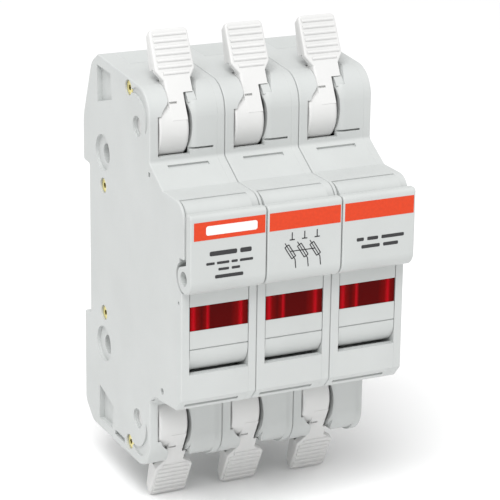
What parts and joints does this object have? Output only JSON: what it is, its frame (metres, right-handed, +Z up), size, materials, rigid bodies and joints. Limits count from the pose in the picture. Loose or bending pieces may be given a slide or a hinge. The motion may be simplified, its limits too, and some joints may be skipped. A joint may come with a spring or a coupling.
{
  "type": "modular cartridge fuse holder",
  "caption": "Rail-mounted modular holder for cartridge fuses, with ganged swing-out fuse carriers, red indicator windows and lever-operated wire terminals at both ends.",
  "frame": {"origin": "centre of the rail seat, on the plane where the housing meets the rail", "axes": "+Z up along the poles, front and handles towards -Y, +X to the right as seen from the front"},
  "size_m": [0.0524, 0.0589, 0.1064],
  "materials": {
    "housing_plastic": "fine matt moulding, light grey",
    "carrier_plastic": "fine matt moulding, light grey",
    "lever_plastic": "smooth satin moulding, ivory white",
    "clip_plastic": "matt moulding, light grey",
    "red_lens": "clear deep red moulding",
    "circuit_board": "green laminate",
    "lamp_glass": "clear lamp",
    "fuse_ceramic": "white ceramic",
    "plated_cap": "nickel plated",
    "tinned_copper": "tin plated copper",
    "zinc_steel": "zinc plated",
    "rivet_brass": "bright brass",
    "label_print": "printed film with an orange band"
  },
  "bodies": {
    "housing": {"housing_body_1": "housing_plastic", "housing_body_2": "housing_plastic", "housing_body_3": "housing_plastic", "housing_cover_1": "housing_plastic", "housing_cover_2": "housing_plastic", "housing_cover_3": "housing_plastic", "jaw_upper_1": "tinned_copper", "jaw_upper_2": "tinned_copper", "jaw_upper_3": "tinned_copper", "jaw_lower_1": "tinned_copper", "jaw_lower_2": "tinned_copper", "jaw_lower_3": "tinned_copper", "rivets": "rivet_brass", "hinge_pins": "zinc_steel"},
    "carriers": {"carrier_1": "carrier_plastic", "carrier_2": "carrier_plastic", "carrier_3": "carrier_plastic", "window_lens_1": "red_lens", "window_lens_2": "red_lens", "window_lens_3": "red_lens", "indicator_board_1": "circuit_board", "indicator_board_2": "circuit_board", "indicator_board_3": "circuit_board", "indicator_lamp_1": "lamp_glass", "indicator_lamp_2": "lamp_glass", "indicator_lamp_3": "lamp_glass", "fuse_tube_1": "fuse_ceramic", "fuse_tube_2": "fuse_ceramic", "fuse_tube_3": "fuse_ceramic", "fuse_caps_1": "plated_cap", "fuse_caps_2": "plated_cap", "fuse_caps_3": "plated_cap", "handle_tie_bar": "carrier_plastic", "labels": "label_print"},
    "lever_upper_1": {"lever_upper_1": "lever_plastic"},
    "cage_upper_1": {"cage_upper_1": "zinc_steel"},
    "lever_lower_1": {"lever_lower_1": "lever_plastic"},
    "cage_lower_1": {"cage_lower_1": "zinc_steel"},
    "rail_clip_1": {"rail_clip_1": "clip_plastic"},
    "lever_upper_2": {"lever_upper_2": "lever_plastic"},
    "cage_upper_2": {"cage_upper_2": "zinc_steel"},
    "lever_lower_2": {"lever_lower_2": "lever_plastic"},
    "cage_lower_2": {"cage_lower_2": "zinc_steel"},
    "rail_clip_2": {"rail_clip_2": "clip_plastic"},
    "lever_upper_3": {"lever_upper_3": "lever_plastic"},
    "cage_upper_3": {"cage_upper_3": "zinc_steel"},
    "lever_lower_3": {"lever_lower_3": "lever_plastic"},
    "cage_lower_3": {"cage_lower_3": "zinc_steel"},
    "rail_clip_3": {"rail_clip_3": "clip_plastic"}
  },
  "joints": [
    {"name": "carriers_swing", "type": "hinge", "parent": "housing", "child": "carriers", "pos_m": [0, -0.0459, -0.0104], "axis": [1, 0, 0], "range_deg": [0, 80]},
    {"name": "lever_upper_1_turn", "type": "hinge", "parent": "housing", "child": "lever_upper_1", "pos_m": [-0.0175, -0.0275, 0.03325], "axis": [1, 0, 0], "range_deg": [0, 80]},
    {"name": "cage_upper_1_slide", "type": "slide", "parent": "housing", "child": "cage_upper_1", "axis": [0, 1, 0], "range_m": [0, 0.0035]},
    {"name": "lever_lower_1_turn", "type": "hinge", "parent": "housing", "child": "lever_lower_1", "pos_m": [-0.0175, -0.0275, -0.03325], "axis": [-1, 0, 0], "range_deg": [0, 80]},
    {"name": "cage_lower_1_slide", "type": "slide", "parent": "housing", "child": "cage_lower_1", "axis": [0, 1, 0], "range_m": [0, 0.0035]},
    {"name": "rail_clip_1_slide", "type": "slide", "parent": "housing", "child": "rail_clip_1", "axis": [0, 0, -1], "range_m": [0, 0.003], "stiffness_N_per_m": 400, "springref_m": -0.001},
    {"name": "lever_upper_2_turn", "type": "hinge", "parent": "housing", "child": "lever_upper_2", "pos_m": [0, -0.0275, 0.03325], "axis": [1, 0, 0], "range_deg": [0, 80]},
    {"name": "cage_upper_2_slide", "type": "slide", "parent": "housing", "child": "cage_upper_2", "axis": [0, 1, 0], "range_m": [0, 0.0035]},
    {"name": "lever_lower_2_turn", "type": "hinge", "parent": "housing", "child": "lever_lower_2", "pos_m": [0, -0.0275, -0.03325], "axis": [-1, 0, 0], "range_deg": [0, 80]},
    {"name": "cage_lower_2_slide", "type": "slide", "parent": "housing", "child": "cage_lower_2", "axis": [0, 1, 0], "range_m": [0, 0.0035]},
    {"name": "rail_clip_2_slide", "type": "slide", "parent": "housing", "child": "rail_clip_2", "axis": [0, 0, -1], "range_m": [0, 0.003], "stiffness_N_per_m": 400, "springref_m": -0.001},
    {"name": "lever_upper_3_turn", "type": "hinge", "parent": "housing", "child": "lever_upper_3", "pos_m": [0.0175, -0.0275, 0.03325], "axis": [1, 0, 0], "range_deg": [0, 80]},
    {"name": "cage_upper_3_slide", "type": "slide", "parent": "housing", "child": "cage_upper_3", "axis": [0, 1, 0], "range_m": [0, 0.0035]},
    {"name": "lever_lower_3_turn", "type": "hinge", "parent": "housing", "child": "lever_lower_3", "pos_m": [0.0175, -0.0275, -0.03325], "axis": [-1, 0, 0], "range_deg": [0, 80]},
    {"name": "cage_lower_3_slide", "type": "slide", "parent": "housing", "child": "cage_lower_3", "axis": [0, 1, 0], "range_m": [0, 0.0035]},
    {"name": "rail_clip_3_slide", "type": "slide", "parent": "housing", "child": "rail_clip_3", "axis": [0, 0, -1], "range_m": [0, 0.003], "stiffness_N_per_m": 400, "springref_m": -0.001}
  ],
  "couplings": [
    {"joint": "cage_upper_1_slide", "follows": "lever_upper_1_turn", "m_per_rad": 0.0025},
    {"joint": "cage_lower_1_slide", "follows": "lever_lower_1_turn", "m_per_rad": 0.0025},
    {"joint": "cage_upper_2_slide", "follows": "lever_upper_2_turn", "m_per_rad": 0.0025},
    {"joint": "cage_lower_2_slide", "follows": "lever_lower_2_turn", "m_per_rad": 0.0025},
    {"joint": "cage_upper_3_slide", "follows": "lever_upper_3_turn", "m_per_rad": 0.0025},
    {"joint": "cage_lower_3_slide", "follows": "lever_lower_3_turn", "m_per_rad": 0.0025}
  ]
}
